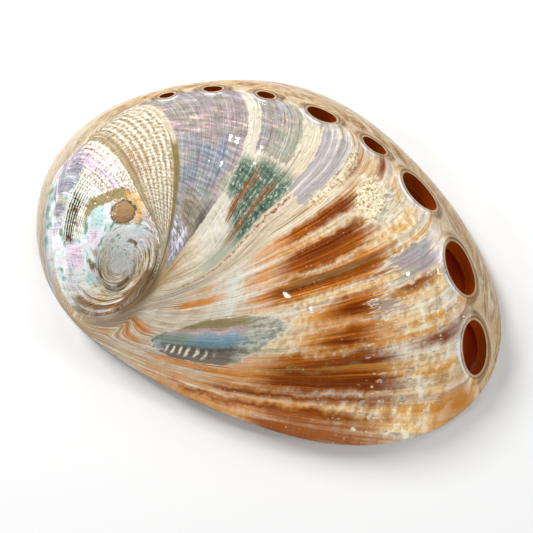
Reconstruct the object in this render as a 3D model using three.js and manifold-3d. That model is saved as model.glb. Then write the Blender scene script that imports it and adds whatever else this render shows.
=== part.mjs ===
// An empty abalone shell, polished, lying with its mouth on the table: one ear-shaped dome of nacre
// whose last whorl takes up nearly all of it. A low spire sits at the back left, and a row of eight
// oval breathing holes follows the shoulder of the whorl from the back, round the left side, to the
// front, each hole larger than the one before it.
//
// Millimetres, +Z up. +X runs from the spire to the growing front edge, +Y to the side with the holes.
// The origin is under the middle of the shell, on the surface it lies on.

import * as THREE from "three";
import { mergeVertices } from "three/addons/utils/BufferGeometryUtils.js";
import Module from "manifold-3d";

const DEGREE = Math.PI / 180;
const TURN = 360 * DEGREE;

// The whole shell.
const LENGTH = 119; // of the mouth
const HEIGHT = 31;
const WALL = 2.2; // thickness over the back
const LIP = 1.5; // thickness of the growing edge
const LEDGE = 7.5; // flat inner lip along the side with the holes, beyond the lip's thickness
const LEDGE_MIDDLE = 100 * DEGREE;
const LEDGE_TURN = 0.9; // the ledge fades out 90 / LEDGE_TURN degrees either side of its middle
const LEDGE_START = 0.72; // how far out across the dome the wall begins to thicken into the ledge
const LEVEL_RIM = 12; // the higher, the nearer to the rim the wall turns level
const RIM_LIFT = 1.2; // how far the growing edge arches off the table
const RIM_LIFT_MIDDLE = 268 * DEGREE;
const RIM_LIFT_SHARPNESS = 5;

// The mouth's outline: its radius at an angle, as shares of LENGTH.
const OUTLINE = {
  mean: 0.4177,
  cos: [0.0202, 0.0696, 0.0034, 0.0135],
  sin: [0.0595, 0, -0.0078, 0],
};

// The dome over that outline: a superellipse in section, its crown leaning back and to the left.
const SIDE_POWER = 2.3;
const CROWN_POWER = 1.9;
const CROWN_SHIFT = [-0.0932 * LENGTH, 0.0654 * LENGTH];

// The spiral that the shoulder and its holes follow. Its angle runs back in time, from 0 at the
// newest hole. Its radius falls by GROWTH a radian there, and more slowly towards the nucleus.
const NUCLEUS = [-0.2228 * LENGTH, -0.1527 * LENGTH];
const SPIRAL_RADIUS = 0.7292 * LENGTH;
const GROWTH = 0.54;
const GROWTH_SLOWING = 0.0582;
const SLOWEST_GROWTH = 0.13;
const FIRST_BEARING = -0.048;
const DRIFT = [-0.027, 0.271]; // the spiral's middle moves this share of its radius as it opens,
const DRIFT_RADII = [4, 9]; // not at all at the first of these radii, fully from the second on

const WHORLS = 5;

// The suture, where the last whorl meets the spire, starts half a turn behind the newest hole.
const SUTURE_START = 172 * DEGREE;
const SUTURE_FADE = 50 * DEGREE;
const SUTURE_STEP = 0.13; // height of the spire's edge, as a share of the spiral's radius there
const SUTURE_SINK = 0.35; // how far the whorl dips to meet the spire, as a share of that step,
const SINK_REACH = 0.25; // over this share of the radius there
const SUTURE_WIDTH = 0.2; // width of that step, as a share of the whorl
const WHORL_ROUNDING = 1.5; // above 1 the spire's whorls rise late, near their edges
const TIP_RADII = [1.5, 5]; // the whorls fade out within these radii of the nucleus
const SHOULDER_RISE = 0.9;
const SHOULDER_WIDTH = 5;
const SHOULDER_START = [-0.3, 0.3]; // the turn over which the ridge grows, about the newest hole
const SHOULDER_FADE = 45 * DEGREE; // turn over which the ridge dies out before the suture starts
const WAIST = { depth: 0.035, back: 1.17, width: 0.3 }; // a stretch where the row runs further in

// The holes, from the newest to the oldest: the angle back to each, and its length along the row.
const HOLE_BACKS = [0.02, 0.24, 0.53, 0.77, 1.01, 1.285, 1.575, 1.84];
const HOLE_LENGTHS = [13, 13.6, 11.7, 6.7, 7.6, 4.4, 4.6, 3.7];
const HOLE_WIDTH = 0.62; // as a share of its length
const HOLE_SIDES = 24;

// How finely the shell is faceted.
const AZIMUTHS = 88;
const SPIRE_ROWS = 14;
const BACK_ROWS = 20;
const INNER_ROWS = 12;
const ROW_CROWDING = 1.3; // above 1 the back's rows crowd together at the spire
const EDGE_FADE = 150 * DEGREE; // turn over which the rows leave the spire's edge for its inner turn
const EVEN_RIM = 0.5; // share of the azimuths spread evenly along the rim, the rest round the nucleus

const smooth = (low, high, x) => THREE.MathUtils.smoothstep(x, low, high);

function outlineRadius(angle) {
  let radius = OUTLINE.mean;
  OUTLINE.cos.forEach((share, i) => (radius += share * Math.cos((i + 1) * angle)));
  OUTLINE.sin.forEach((share, i) => (radius += share * Math.sin((i + 1) * angle)));
  return radius * LENGTH;
}

// The smooth dome over a unit disk: its crown is at the disk's middle and the rim on its edge.
function dome(x, y) {
  const angle = Math.atan2(y, x);
  const slope = Math.min(Math.hypot(x, y), 1) * 90 * DEGREE;
  const out = outlineRadius(angle) * Math.sin(slope) ** (2 / SIDE_POWER);
  const up = Math.max(Math.cos(slope), 0) ** (2 / CROWN_POWER);
  const arch = Math.exp(RIM_LIFT_SHARPNESS * (Math.cos(angle - RIM_LIFT_MIDDLE) - 1));
  return new THREE.Vector3(
    out * Math.cos(angle) + CROWN_SHIFT[0] * up,
    out * Math.sin(angle) + CROWN_SHIFT[1] * up,
    HEIGHT * up + RIM_LIFT * arch * (1 - up) ** 2,
  );
}

function domeNormal(x, y) {
  const step = 1e-3;
  const inward = Math.min(1, (1 - 2 * step) / Math.max(Math.hypot(x, y), 1e-9));
  const [cx, cy] = [x * inward, y * inward];
  const alongX = dome(cx + step, cy).sub(dome(cx - step, cy));
  const alongY = dome(cx, cy + step).sub(dome(cx, cy - step));
  return alongX.cross(alongY).normalize();
}

// The disk point whose place on the dome is straight above a point of the table.
function diskPointAbove(x, y) {
  let up = 0.5;
  let found = [0, 0];
  for (let i = 0; i < 80; i++) {
    const [dx, dy] = [x - CROWN_SHIFT[0] * up, y - CROWN_SHIFT[1] * up];
    const angle = Math.atan2(dy, dx);
    const share = Math.min(Math.hypot(dx, dy) / outlineRadius(angle), 1);
    const out = Math.asin(share ** (SIDE_POWER / 2)) / (90 * DEGREE);
    found = [out * Math.cos(angle), out * Math.sin(angle)];
    up = (up + Math.max(Math.cos(out * 90 * DEGREE), 0) ** (2 / CROWN_POWER)) / 2;
  }
  return found;
}

// The spiral's radius a given angle back from the newest hole; ahead of it the angle is negative.
function spiralRadius(back) {
  const slowed = (GROWTH - SLOWEST_GROWTH) / GROWTH_SLOWING;
  const steep = Math.min(back, slowed);
  const fall = GROWTH * steep - (GROWTH_SLOWING * steep ** 2) / 2 + SLOWEST_GROWTH * (back - steep);
  const waist = WAIST.depth * Math.exp(-(((back - WAIST.back) / WAIST.width) ** 2));
  return SPIRAL_RADIUS * Math.exp(-fall) * (1 - waist);
}

function spiralPoint(back) {
  const bearing = FIRST_BEARING + back;
  const radius = spiralRadius(back);
  const [x, y] = spiralMiddle(radius);
  return [x + radius * Math.cos(bearing), y + radius * Math.sin(bearing)];
}

function spiralMiddle(radius) {
  const moved = radius * smooth(...DRIFT_RADII, radius);
  return [NUCLEUS[0] + DRIFT[0] * moved, NUCLEUS[1] + DRIFT[1] * moved];
}

// Where a point of the plan lies in the whorls: the angle back along the shoulder that bounds its
// whorl, the radius of the spiral's drifting circle through it, and its share of the way across
// the whorl, from 0 at the inner suture to 1 at the shoulder.
function whorlPlace(x, y) {
  let radius = Math.hypot(x - NUCLEUS[0], y - NUCLEUS[1]);
  let middle = NUCLEUS;
  for (let i = 0; i < 40; i++) {
    middle = spiralMiddle(radius);
    radius = Math.hypot(x - middle[0], y - middle[1]);
  }
  let back = Math.atan2(y - middle[1], x - middle[0]) - FIRST_BEARING;
  back -= TURN * Math.ceil((back - SUTURE_START) / TURN);
  while (radius < spiralRadius(back + TURN) && back < WHORLS * TURN) back += TURN;
  const inner = spiralRadius(back + TURN);
  const across = Math.max((radius - inner) / (spiralRadius(back) - inner), 0);
  return { back, radius, across };
}

// How far the surface stands off the smooth dome: the spire's whorls rise to their edges and drop
// at the suture, and the shoulder with the holes is a low rounded ridge.
function relief(x, y) {
  const { back, radius, across } = whorlPlace(x, y);
  const [shoulder, inner] = [spiralRadius(back), spiralRadius(back + TURN)];
  const stepAt = (angle) => {
    const present = smooth(SUTURE_START, SUTURE_START + SUTURE_FADE, angle);
    return SUTURE_STEP * spiralRadius(angle) * present * smooth(...TIP_RADII, spiralRadius(angle));
  };
  const whorl = smooth(0, SUTURE_WIDTH, 1 - across);
  const rise = Math.min(across, 1) ** WHORL_ROUNDING * whorl - SUTURE_SINK * (1 - whorl);
  const sunken = SUTURE_SINK * Math.exp(-(((radius - inner) / (SINK_REACH * inner)) ** 2));
  const ridge = Math.exp(-(((radius - shoulder) / SHOULDER_WIDTH) ** 2));
  const dying = 1 - smooth(SUTURE_START - SHOULDER_FADE, SUTURE_START, back);
  const raised = SHOULDER_RISE * ridge * smooth(...SHOULDER_START, back) * dying;
  return stepAt(back) * rise - stepAt(back + TURN) * sunken + raised;
}

function wallThickness(x, y) {
  const fade = Math.max(Math.cos(LEDGE_TURN * wrapped(Math.atan2(y, x) - LEDGE_MIDDLE)), 0);
  const edge = LIP + LEDGE * fade ** 0.8;
  return WALL + (edge - WALL) * smooth(LEDGE_START, 1, Math.hypot(x, y)) ** 2;
}

function wrapped(angle) {
  return Math.atan2(Math.sin(angle), Math.cos(angle));
}

function outerPoint(x, y) {
  const base = dome(x, y);
  return base.addScaledVector(domeNormal(x, y), relief(base.x, base.y) * (1 - Math.hypot(x, y) ** 8));
}

function innerPoint(x, y) {
  const normal = domeNormal(x, y);
  normal.z *= 1 - Math.hypot(x, y) ** LEVEL_RIM;
  const point = dome(x, y).addScaledVector(normal.normalize(), -wallThickness(x, y));
  return point.setZ(Math.max(point.z, 0));
}

// The value between 0 and the limit at which a rising test first fails.
function turningPoint(limit, test) {
  let [low, high] = [0, limit];
  for (let halving = 0; halving < 30; halving++) {
    const middle = (low + high) / 2;
    if (test(middle)) low = middle;
    else high = middle;
  }
  return low;
}

// The rays that the facets follow, from the nucleus to the rim of the disk. Their ends are a
// compromise between even steps along the rim and even steps as seen from the nucleus.
function facetRays(nucleus) {
  const seen = (rim) => Math.atan2(Math.sin(rim) - nucleus[1], Math.cos(rim) - nucleus[0]);
  const evenness = (rim) => rim + (1 - EVEN_RIM) * wrapped(seen(rim) - seen(0) - rim);
  return Array.from({ length: AZIMUTHS }, (_, i) => {
    const rim = turningPoint(TURN, (angle) => evenness(angle) < (TURN * i) / AZIMUTHS);
    const end = [Math.cos(rim), Math.sin(rim)];
    return (share) => nucleus.map((value, axis) => value + (end[axis] - value) * share);
  });
}

// The share of a ray that lies on the spire. Where the spire runs out into the last whorl, the
// edge is carried across from its outer turn to the turn within.
function spireShare(ray) {
  const backAt = (share) => {
    const { x, y } = dome(...ray(share));
    return whorlPlace(x, y).back;
  };
  const outer = turningPoint(1, (share) => backAt(share) > SUTURE_START);
  const within = turningPoint(1, (share) => backAt(share) > SUTURE_START + TURN);
  const fade = smooth(SUTURE_START, SUTURE_START + EDGE_FADE, backAt(0.999 * outer));
  return within + (outer - within) * fade;
}

// One closed skin: rows of points from the nucleus out over the spire's edge to the rim, and back
// inside to the nucleus.
function shellSkin() {
  const nucleus = diskPointAbove(...NUCLEUS);
  const rays = facetRays(nucleus).map((ray) => ({ ray, spire: spireShare(ray) }));
  const rows = [];
  const addRow = (place, shareOf) =>
    rows.push(rays.map(({ ray, spire }) => place(...ray(shareOf(spire)))));
  for (let j = 1; j <= SPIRE_ROWS; j++) addRow(outerPoint, (spire) => (spire * j) / SPIRE_ROWS);
  for (let j = 1; j <= BACK_ROWS; j++)
    addRow(outerPoint, (spire) => spire + (1 - spire) * (j / BACK_ROWS) ** ROW_CROWDING);
  for (let j = INNER_ROWS; j >= 1; j--) addRow(innerPoint, () => j / INNER_ROWS);
  const points = [outerPoint(...nucleus), ...rows.flat(), innerPoint(...nucleus)];

  const at = (row, i) => 1 + row * AZIMUTHS + (i % AZIMUTHS);
  const faces = [];
  for (let i = 0; i < AZIMUTHS; i++) {
    faces.push(0, at(0, i), at(0, i + 1));
    for (let row = 0; row + 1 < rows.length; row++) {
      faces.push(at(row, i), at(row + 1, i), at(row + 1, i + 1));
      faces.push(at(row, i), at(row + 1, i + 1), at(row, i + 1));
    }
    faces.push(points.length - 1, at(rows.length - 1, i + 1), at(rows.length - 1, i));
  }
  return new THREE.BufferGeometry().setFromPoints(points).setIndex(faces);
}

// An oval plug through the wall, square to the dome, for the hole that far back along the spiral.
function holePlug(index) {
  const back = HOLE_BACKS[index];
  const place = diskPointAbove(...spiralPoint(back));
  const ahead = diskPointAbove(...spiralPoint(back - 0.02));
  const normal = domeNormal(...place);
  const along = dome(...ahead).sub(dome(...place)).projectOnPlane(normal).normalize();
  const plug = new THREE.CylinderGeometry(0.5, 0.5, 5 * WALL, HOLE_SIDES);
  plug.scale(HOLE_LENGTHS[index], 1, HOLE_WIDTH * HOLE_LENGTHS[index]);
  const turned = new THREE.Matrix4().makeBasis(along, normal, along.clone().cross(normal));
  return plug.applyMatrix4(turned.setPosition(dome(...place)));
}

function toSolid(wasm, geometry) {
  const bare = geometry.clone();
  for (const name of ["normal", "uv"]) bare.deleteAttribute(name);
  const merged = mergeVertices(bare, 1e-4);
  return new wasm.Manifold(
    new wasm.Mesh({
      numProp: 3,
      vertProperties: merged.attributes.position.array,
      triVerts: new Uint32Array(merged.index.array),
    }),
  );
}

function toGeometry(solid) {
  const { vertProperties, triVerts } = solid.getMesh();
  const geometry = new THREE.BufferGeometry();
  geometry.setAttribute("position", new THREE.BufferAttribute(vertProperties, 3));
  geometry.setIndex(new THREE.BufferAttribute(triVerts, 1));
  geometry.computeVertexNormals();
  return geometry;
}

const wasm = await Module();
wasm.setup();

let solid = toSolid(wasm, shellSkin());
HOLE_BACKS.forEach((_, index) => {
  solid = solid.subtract(toSolid(wasm, holePlug(index)));
});

const geometry = toGeometry(solid);
geometry.computeBoundingBox();
const middle = geometry.boundingBox.getCenter(new THREE.Vector3());
geometry.translate(-middle.x, -middle.y, -geometry.boundingBox.min.z);

const nacre = new THREE.MeshStandardMaterial({ color: 0xd9c7a8, roughness: 0.2, metalness: 0.1 });
const shell = new THREE.Mesh(geometry, nacre);
shell.name = "shell";

const abalone = new THREE.Group();
abalone.add(shell);

export default abalone;
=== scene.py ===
# A polished abalone shell, mouth down on a white table, seen from above its growing edge.
#
# Lengths are in millimetres until a mesh is written. A point of the shell is named by its place on a
# unit disk: the dome's crown is at the disk's middle and the rim of the mouth is its edge. Colour and
# relief follow two other coordinates. The growth angle says when that part of the shell was laid down,
# as the bearing of its growth line where that meets the row of holes, counted back from the newest
# hole in degrees. The share says how far out it lies across the whorl, from 0 at the suture to 1 at
# the row of holes, on a logarithmic scale.

from math import cos, pi, radians, sin

import bpy
import numpy as np
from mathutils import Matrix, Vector
from mathutils.geometry import delaunay_2d_cdt

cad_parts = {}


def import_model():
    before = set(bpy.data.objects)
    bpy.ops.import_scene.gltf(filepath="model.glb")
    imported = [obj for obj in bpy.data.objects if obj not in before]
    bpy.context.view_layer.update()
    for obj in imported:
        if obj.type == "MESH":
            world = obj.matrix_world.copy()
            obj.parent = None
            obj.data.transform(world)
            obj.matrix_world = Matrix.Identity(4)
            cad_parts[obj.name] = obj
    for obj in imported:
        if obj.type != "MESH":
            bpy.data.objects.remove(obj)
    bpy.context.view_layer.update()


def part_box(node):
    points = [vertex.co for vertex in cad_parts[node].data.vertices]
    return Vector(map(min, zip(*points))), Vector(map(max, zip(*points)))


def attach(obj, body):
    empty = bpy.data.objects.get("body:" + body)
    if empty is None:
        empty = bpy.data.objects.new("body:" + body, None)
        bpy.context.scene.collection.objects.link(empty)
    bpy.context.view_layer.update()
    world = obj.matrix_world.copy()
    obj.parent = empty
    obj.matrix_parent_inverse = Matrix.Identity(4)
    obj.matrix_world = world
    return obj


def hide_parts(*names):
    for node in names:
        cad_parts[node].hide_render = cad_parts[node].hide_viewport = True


MM = 0.001
TURN = 2 * pi
RIGHT_ANGLE = pi / 2

# A distance that stands for anywhere far from a hole.
FAR = 99.0

# The dome. The outline is a series of cosines and sines, as shares of the mouth's length. Over it
# stands a superellipse with its crown moved aside, and the rim is lifted a little at one place.
MOUTH_LENGTH = 119.0
HEIGHT = 31.0
OUTLINE_MEAN = 0.4177
OUTLINE_COS = (0.0202, 0.0696, 0.0034, 0.0135)
OUTLINE_SIN = (0.0595, 0.0, -0.0078, 0.0)
SIDE_POWER = 2.3
CROWN_POWER = 1.9
CROWN_SHIFT = (-0.0932 * MOUTH_LENGTH, 0.0654 * MOUTH_LENGTH)
RIM_LIFT = 1.2
RIM_LIFT_MIDDLE = radians(268)
RIM_LIFT_SHARPNESS = 5

# The wall, its edge, and the ledge under the side with the holes. Near the rim the wall is measured
# level, and between the outside and the inside it has some rows of vertices.
WALL = 2.2
LIP = 1.5
LEDGE = 7.5
LEDGE_MIDDLE = radians(100)
LEDGE_TURN = 0.9
LEDGE_START = 0.72
LEDGE_POWER = 0.8
LEVEL_RIM = 12
WALL_ROWS = (0.15, 0.35, 0.6, 0.8)

# The spiral of the shoulder, by the angle back from the newest hole.
NUCLEUS = (-0.2228 * MOUTH_LENGTH, -0.1527 * MOUTH_LENGTH)
SPIRAL_RADIUS = 0.7292 * MOUTH_LENGTH
GROWTH = 0.54
GROWTH_SLOWING = 0.0582
SLOWEST_GROWTH = 0.13
FIRST_BEARING = -0.048
DRIFT = (-0.027, 0.271)
DRIFT_RADII = (4, 9)
WAIST_DEPTH, WAIST_BACK, WAIST_WIDTH = 0.035, 1.17, 0.3
WHORLS = 5

# How many degrees the growth lines lean back, and how far they bend at the ends of the whorl.
LEAN_AT_SUTURE = 26.4
LEAN_ACROSS = 32.8
LEAN_OUTSIDE = 160
NEAREST_SHARE = 0.02
LIP_BEND = 8
FAN_BEND, FAN_SHARE = 60, 0.09
CREASE_BEND = 13
OLDEST_BEND, OLDEST_FROM = 0.5, 120

# The spire, the shoulder and the channel outside the holes.
SUTURE_START = radians(172)
SUTURE_FADE = radians(50)
SUTURE_STEP = 0.13
SUTURE_SINK = 0.35
SUTURE_WIDTH = 0.2
TIP_RADII = (1.5, 5)
SHOULDER_RISE = 0.9
SHOULDER_WIDTH = 5
SHOULDER_FADE = radians(45)
CHANNEL_DEPTH = 0.8
CHANNEL_OUT = 6.5
CHANNEL_WIDTH = 2.2

# Growth bands, by height and by degrees from one to the next, and the spiral cords.
BANDS = ((0.16, 7.0), (0.07, 2.4))
BAND_KNOTS = 512
CORD_HEIGHT = 0.07
CORD_COUNT = 11

# The holes, from the newest to the oldest.
HOLE_BACKS = (0.02, 0.24, 0.53, 0.77, 1.01, 1.285, 1.575, 1.84)
HOLE_LENGTHS = (13, 13.6, 11.7, 6.7, 7.6, 4.4, 4.6, 3.7)
HOLE_WIDTH = 0.62
HOLE_REACH = 3
LIP_RISE = 0.5
LIP_OUT = 0.9
LIP_WIDTH = 0.8

# Facets. The disk's radius is about DISK_LENGTH on the dome.
DISK_LENGTH = 0.56 * MOUTH_LENGTH
GRAIN = 0.62
RIM_COUNT = int(2.8 * MOUTH_LENGTH / GRAIN)
SPIRE_GRAIN = 0.36
SPIRE_REACH = 15
INNER_GRAIN = 1.3
HOLE_GRAIN = 0.3
HOLE_RINGS = (0.0, 0.3, 0.6, 0.95, 1.35, 1.8)

# The growth angle and the angle back from which the shell takes the early whorls' colours.
EARLY_GROWTH = 143
EARLY_BACK = 172

# The height of the finest pattern, which is left to the shading.
BUMP_HEIGHT = 1.1


def smooth(low, high, x):
    share = np.clip((x - low) / (high - low), 0, 1)
    return share * share * (3 - 2 * share)


def outline_radius(angle):
    radius = OUTLINE_MEAN
    for i, (by_cos, by_sin) in enumerate(zip(OUTLINE_COS, OUTLINE_SIN), 1):
        radius = radius + by_cos * np.cos(i * angle)
        radius = radius + by_sin * np.sin(i * angle)
    return radius * MOUTH_LENGTH


def dome(disk):
    """The smooth dome over points of the unit disk."""
    angle = np.arctan2(disk[:, 1], disk[:, 0])
    slope = np.minimum(np.hypot(disk[:, 0], disk[:, 1]), 1) * RIGHT_ANGLE
    out = outline_radius(angle) * np.sin(slope) ** (2 / SIDE_POWER)
    up = np.maximum(np.cos(slope), 0) ** (2 / CROWN_POWER)
    arch = np.exp(RIM_LIFT_SHARPNESS * (np.cos(angle - RIM_LIFT_MIDDLE) - 1))
    x = out * np.cos(angle) + CROWN_SHIFT[0] * up
    y = out * np.sin(angle) + CROWN_SHIFT[1] * up
    return np.stack([x, y, HEIGHT * up + RIM_LIFT * arch * (1 - up) ** 2], axis=1)


def unit(vectors):
    return vectors / np.linalg.norm(vectors, axis=-1, keepdims=True)


def area(first, second):
    """The areas, with their signs, of the parallelograms between pairs of plane vectors."""
    return first[:, 0] * second[:, 1] - first[:, 1] * second[:, 0]


def dome_normal(disk):
    step = 1e-3
    size = np.maximum(np.hypot(disk[:, 0], disk[:, 1]), 1e-9)
    inner = disk * np.minimum(1, (1 - 2 * step) / size)[:, None]
    along_x = dome(inner + (step, 0)) - dome(inner - (step, 0))
    along_y = dome(inner + (0, step)) - dome(inner - (0, step))
    return unit(np.cross(along_x, along_y))


def disk_above(plan):
    """The disk points whose places on the dome are straight above points of the table."""
    up = np.full(len(plan), 0.5)
    for _ in range(80):
        dx, dy = plan[:, 0] - CROWN_SHIFT[0] * up, plan[:, 1] - CROWN_SHIFT[1] * up
        angle = np.arctan2(dy, dx)
        share = np.minimum(np.hypot(dx, dy) / outline_radius(angle), 1)
        out = np.arcsin(share ** (SIDE_POWER / 2)) / RIGHT_ANGLE
        up = (up + np.maximum(np.cos(out * RIGHT_ANGLE), 0) ** (2 / CROWN_POWER)) / 2
    return np.stack([out * np.cos(angle), out * np.sin(angle)], axis=1)


def spiral_radius(back):
    steep = np.minimum(back, (GROWTH - SLOWEST_GROWTH) / GROWTH_SLOWING)
    fall = GROWTH * steep - GROWTH_SLOWING * steep**2 / 2 + SLOWEST_GROWTH * (back - steep)
    waist = WAIST_DEPTH * np.exp(-(((back - WAIST_BACK) / WAIST_WIDTH) ** 2))
    return SPIRAL_RADIUS * np.exp(-fall) * (1 - waist)


def spiral_middle(radius):
    moved = radius * smooth(*DRIFT_RADII, radius)
    return NUCLEUS[0] + DRIFT[0] * moved, NUCLEUS[1] + DRIFT[1] * moved


def spiral_point(back, radius=None):
    radius = spiral_radius(back) if radius is None else radius
    x, y = spiral_middle(radius)
    bearing = FIRST_BEARING + back
    return np.stack([x + radius * np.cos(bearing), y + radius * np.sin(bearing)], axis=-1)


def whorl_place(plan):
    """The angle back along the shoulder, and the radius on the spiral's circles, of plan points."""
    x, y = plan[:, 0], plan[:, 1]
    middle_x, middle_y = NUCLEUS
    radius = np.hypot(x - middle_x, y - middle_y)
    for _ in range(40):
        middle_x, middle_y = spiral_middle(radius)
        radius = np.hypot(x - middle_x, y - middle_y)
    back = np.arctan2(y - middle_y, x - middle_x) - FIRST_BEARING
    back = back - TURN * np.ceil((back - SUTURE_START) / TURN)
    for _ in range(WHORLS):
        back = np.where(radius < spiral_radius(back + TURN), back + TURN, back)
    return back, radius


def whorl_share(back, radius):
    """How far out across the whorl a radius is, from 0 at the suture to 1 at the shoulder."""
    inner = np.log(spiral_radius(back + TURN))
    return (np.log(radius) - inner) / (np.log(spiral_radius(back)) - inner)


def growth_angle(back, share):
    """The growth line through a place, in degrees: lines leave the suture early and lean back."""
    low = np.clip(share, NEAREST_SHARE, 1)
    lean = -LEAN_AT_SUTURE * np.log(low) + LEAN_ACROSS * np.sqrt(1 - low)
    angle = np.degrees(back) + lean + LEAN_OUTSIDE * np.maximum(share - 1, 0)
    oldest_bend = OLDEST_BEND * np.sqrt(1 - low) * np.maximum(angle - OLDEST_FROM, 0)
    return angle - newest_bend(angle, low) - oldest_bend


def newest_bend(angle, share):
    """How much further the newest lines lean: they fan out from where the lip meets the spire."""
    lip = LIP_BEND * (1 - share) ** 0.9 * (1 - smooth(-5, 15, angle))
    fan = FAN_BEND * np.exp(-np.maximum(share, 0.1) / FAN_SHARE)
    fan = fan * smooth(0, 30, angle) * (1 - smooth(58, 80, angle))
    crease = CREASE_BEND * (1 - smooth(0.3, 0.65, share))
    crease = crease * smooth(38, 50, angle) * (1 - smooth(62, 85, angle))
    return lip + fan - crease


def ripples(angle, seed, spacing):
    """A smooth random wave along the growth angle, between -1 and 1."""
    knots = np.random.default_rng(seed).uniform(-1, 1, BAND_KNOTS)
    place = angle / spacing + 100
    whole = np.floor(place).astype(int)
    between = smooth(0, 1, place - whole)
    return knots[whole % BAND_KNOTS] * (1 - between) + knots[(whole + 1) % BAND_KNOTS] * between


def relief(disk, base):
    """How far the outside stands off the smooth dome."""
    back, radius = whorl_place(base)
    shoulder, inner = spiral_radius(back), spiral_radius(back + TURN)
    across = np.maximum((radius - inner) / (shoulder - inner), 0)

    def step(angle):
        at = spiral_radius(angle)
        present = smooth(SUTURE_START, SUTURE_START + SUTURE_FADE, angle) * smooth(*TIP_RADII, at)
        return SUTURE_STEP * at * present

    whorl = smooth(0, SUTURE_WIDTH, 1 - across)
    rising = step(back) * (np.minimum(across, 1) ** 1.5 * whorl - SUTURE_SINK * (1 - whorl))
    sunken = SUTURE_SINK * step(back + TURN) * np.exp(-(((radius - inner) / (0.25 * inner)) ** 2))
    ridged = smooth(-0.3, 0.3, back) * (1 - smooth(SUTURE_START - SHOULDER_FADE, SUTURE_START, back))
    ridge = SHOULDER_RISE * np.exp(-(((radius - shoulder) / SHOULDER_WIDTH) ** 2))
    past = radius - shoulder * (1 + CHANNEL_OUT / SPIRAL_RADIUS)
    channel = CHANNEL_DEPTH * np.exp(-((past / (CHANNEL_WIDTH * shoulder / SPIRAL_RADIUS)) ** 2))

    share = whorl_share(back, radius)
    growth = growth_angle(back, share)
    laid = smooth(0.03, 0.2, share) * (1 - smooth(0.93, 1.0, share))
    laid = laid * (1 - 0.7 * smooth(170, 200, growth))
    bands = sum(height * ripples(growth, seed, run) for seed, (height, run) in enumerate(BANDS, 1))
    cords = CORD_HEIGHT * np.cos(TURN * CORD_COUNT * share) * smooth(0.1, 0.3, share)
    edge = 1 - np.hypot(disk[:, 0], disk[:, 1]) ** 8
    return (rising - sunken + (ridge - channel) * ridged + (bands + cords) * laid) * edge


class Hole:
    """An oval hole square to the dome, and the frame its oval lies in."""

    def __init__(self, back, length):
        self.disk = disk_above(spiral_point(np.array([back])))
        ahead = disk_above(spiral_point(np.array([back - 0.02])))
        self.middle = dome(self.disk)[0]
        self.normal = dome_normal(self.disk)[0]
        along = dome(ahead)[0] - self.middle
        self.along = unit(along - self.normal * (along @ self.normal))
        self.across = np.cross(self.normal, self.along)
        self.half_length = length / 2
        self.half_width = HOLE_WIDTH * length / 2

    def oval(self, angle, out):
        """Where the oval that lies `out` beyond the hole's edge is, in the hole's own plane."""
        along, across = self.half_length + out, self.half_width + out
        return np.stack([along * np.cos(angle), across * np.sin(angle)], axis=1)

    def ring(self, out):
        """A ring of disk points around the hole, about a hole grain apart."""
        around = pi * (self.half_length + self.half_width + 2 * out)
        count = max(24, int(around / HOLE_GRAIN))
        wanted = self.oval(TURN * np.arange(count) / count, out)
        found = np.repeat(self.disk, count, axis=0)
        step = 1e-3
        for _ in range(8):
            here = self.flat(dome(found))
            by_x = (self.flat(dome(found + (step, 0))) - here) / step
            by_y = (self.flat(dome(found + (0, step))) - here) / step
            gap = wanted - here
            found[:, 0] += area(gap, by_y) / area(by_x, by_y)
            found[:, 1] += area(by_x, gap) / area(by_x, by_y)
        return found

    def flat(self, points):
        away = points - self.middle
        return np.stack([away @ self.along, away @ self.across], axis=1)

    def distance(self, points):
        """Roughly how far points of the dome lie outside the hole's edge, negative inside it."""
        flat = self.flat(points)
        size = np.hypot(flat[:, 0] / self.half_length, flat[:, 1] / self.half_width)
        reach = np.linalg.norm(flat, axis=1)
        far = self.middle_distance(points) > HOLE_REACH * self.half_length
        return np.where(far, FAR, reach * (1 - 1 / np.maximum(size, 1e-6)))

    def middle_distance(self, points):
        return np.linalg.norm(points - self.middle, axis=1)


def clear_of(holes, base, margin):
    """Which points of the dome lie further than a margin outside every hole."""
    return np.all([hole.distance(base) > margin for hole in holes], axis=0)


def lattice(spacing):
    """A triangular lattice over the unit disk, with the spacing in millimetres on the dome."""
    step = spacing / DISK_LENGTH
    rows = int(1 / (step * sin(pi / 3))) + 1
    points = []
    for row in range(-rows, rows + 1):
        x = np.arange(-1.2, 1.2, step) + (row % 2) * step / 2
        points.append(np.stack([x, np.full(len(x), row * step * sin(pi / 3))], axis=1))
    points = np.concatenate(points)
    return points[np.hypot(points[:, 0], points[:, 1]) < 1 - 0.6 * step]


def triangulate(loose, loops, holes):
    """Joins disk points into triangles, leaving out what lies inside the holes."""
    points = np.concatenate([loose] + loops)
    edges = []
    start = len(loose)
    for loop in loops:
        count = len(loop)
        edges += [(start + i, start + (i + 1) % count) for i in range(count)]
        start += count
    found = delaunay_2d_cdt([Vector(p) for p in points], edges, [], 0, 1e-7)
    disk = np.array([tuple(v) for v in found[0]])
    faces = np.array(found[2])
    faces = faces[clear_of(holes, dome(disk[faces].mean(axis=1)), 0)]
    a, b, c = (disk[faces[:, i]] for i in range(3))
    turned = area(b - a, c - a) < 0
    faces[turned] = faces[turned][:, ::-1]
    place = {original: index for index, originals in enumerate(found[3]) for original in originals}
    starts = np.cumsum([len(loose)] + [len(loop) for loop in loops])
    return disk, faces, [[place[i] for i in range(*ends)] for ends in zip(starts, starts[1:])]


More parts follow.
